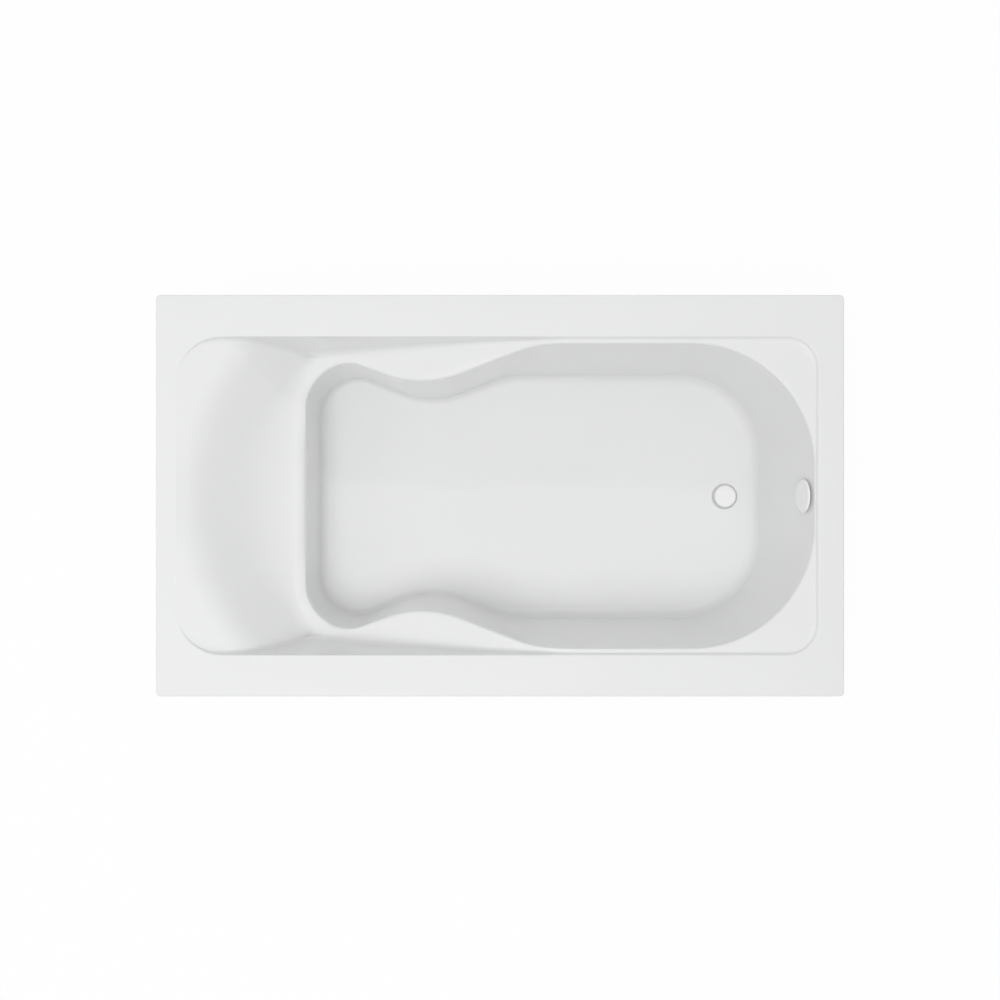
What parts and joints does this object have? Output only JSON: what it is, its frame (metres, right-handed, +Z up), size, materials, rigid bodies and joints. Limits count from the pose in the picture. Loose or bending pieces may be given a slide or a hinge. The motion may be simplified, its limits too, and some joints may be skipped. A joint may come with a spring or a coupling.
{
  "type": "bathtub",
  "caption": "White drop-in bathtub with flat rim, hourglass well, sloped backrest and armrests, overflow, toe-touch waste and levelling feet",
  "frame": {"origin": "on the floor under the middle of the rim's outline, at the underside of the foot pads", "axes": "+X along the tub towards the drain and overflow, +Y across it, +Z up"},
  "size_m": [1.829, 1.067, 0.546],
  "materials": {
    "acrylic": "high-gloss white sanitary acrylic",
    "fibreglass": "sprayed glass-fibre reinforced resin",
    "board": "chipboard base board bedded in resin",
    "batten": "sawn softwood batten",
    "rail": "galvanised sheet steel",
    "zinc": "zinc-plated steel",
    "chrome": "polished chrome",
    "brass": "turned brass",
    "rubber": "black sealing rubber",
    "pipe": "white rigid pipe plastic",
    "nut_plastic": "moulded white nut",
    "washer": "grey sealing washer",
    "bracket": "grey moulded bracket",
    "white_trim": "gloss white trim",
    "pad": "black moulded foot pad"
  },
  "bodies": {
    "tub": {"acrylic_shell": "acrylic", "fibreglass_backing": "fibreglass", "base_board": "board", "rim_batten_left": "batten", "rim_batten_right": "batten", "rim_batten_head": "batten", "rim_batten_foot": "batten", "cradle_rail_head": "rail", "cradle_rail_foot": "rail", "rail_screws": "zinc", "rail_weld_nuts": "zinc", "foot_lock_nuts": "zinc", "drain_flange": "chrome", "drain_gasket": "rubber", "drain_shoe": "pipe", "stopper_post": "brass", "waste_tube": "pipe", "waste_tee": "pipe", "tailpiece": "pipe", "overflow_tube": "pipe", "overflow_elbow": "pipe", "overflow_gasket": "rubber", "overflow_bracket": "bracket", "overflow_screws": "zinc", "overflow_cover": "white_trim", "slip_nuts": "nut_plastic", "slip_washers": "washer"},
    "stopper": {"stopper_cap": "white_trim", "stopper_seal": "rubber"},
    "pad_head_left": {"foot_pad_head_left": "pad"},
    "stud_head_left": {"foot_stud_head_left": "zinc"},
    "pad_head_right": {"foot_pad_head_right": "pad"},
    "stud_head_right": {"foot_stud_head_right": "zinc"},
    "pad_foot_left": {"foot_pad_foot_left": "pad"},
    "stud_foot_left": {"foot_stud_foot_left": "zinc"},
    "pad_foot_right": {"foot_pad_foot_right": "pad"},
    "stud_foot_right": {"foot_stud_foot_right": "zinc"}
  },
  "joints": [
    {"name": "stopper_lift", "type": "slide", "parent": "tub", "child": "stopper", "axis": [0, 0, 1], "range_m": [0, 0.008]},
    {"name": "level_head_left", "type": "slide", "parent": "tub", "child": "pad_head_left", "axis": [0, 0, 1], "range_m": [-0.015, 0.006]},
    {"name": "turn_head_left", "type": "hinge", "parent": "pad_head_left", "child": "stud_head_left", "pos_m": [-0.4, 0.27, 0.05], "axis": [0, 0, 1], "range_deg": [-3090.7, 1239.3]},
    {"name": "level_head_right", "type": "slide", "parent": "tub", "child": "pad_head_right", "axis": [0, 0, 1], "range_m": [-0.015, 0.006]},
    {"name": "turn_head_right", "type": "hinge", "parent": "pad_head_right", "child": "stud_head_right", "pos_m": [-0.4, -0.27, 0.05], "axis": [0, 0, 1], "range_deg": [-3090.7, 1239.3]},
    {"name": "level_foot_left", "type": "slide", "parent": "tub", "child": "pad_foot_left", "axis": [0, 0, 1], "range_m": [-0.015, 0.006]},
    {"name": "turn_foot_left", "type": "hinge", "parent": "pad_foot_left", "child": "stud_foot_left", "pos_m": [0.48, 0.27, 0.05], "axis": [0, 0, 1], "range_deg": [-3090.7, 1239.3]},
    {"name": "level_foot_right", "type": "slide", "parent": "tub", "child": "pad_foot_right", "axis": [0, 0, 1], "range_m": [-0.015, 0.006]},
    {"name": "turn_foot_right", "type": "hinge", "parent": "pad_foot_right", "child": "stud_foot_right", "pos_m": [0.48, -0.27, 0.05], "axis": [0, 0, 1], "range_deg": [-3090.7, 1239.3]}
  ],
  "couplings": [
    {"joint": "turn_head_left", "follows": "level_head_left", "rad_per_m": 3590.4},
    {"joint": "turn_head_right", "follows": "level_head_right", "rad_per_m": 3590.4},
    {"joint": "turn_foot_left", "follows": "level_foot_left", "rad_per_m": 3590.4},
    {"joint": "turn_foot_right", "follows": "level_foot_right", "rad_per_m": 3590.4}
  ]
}
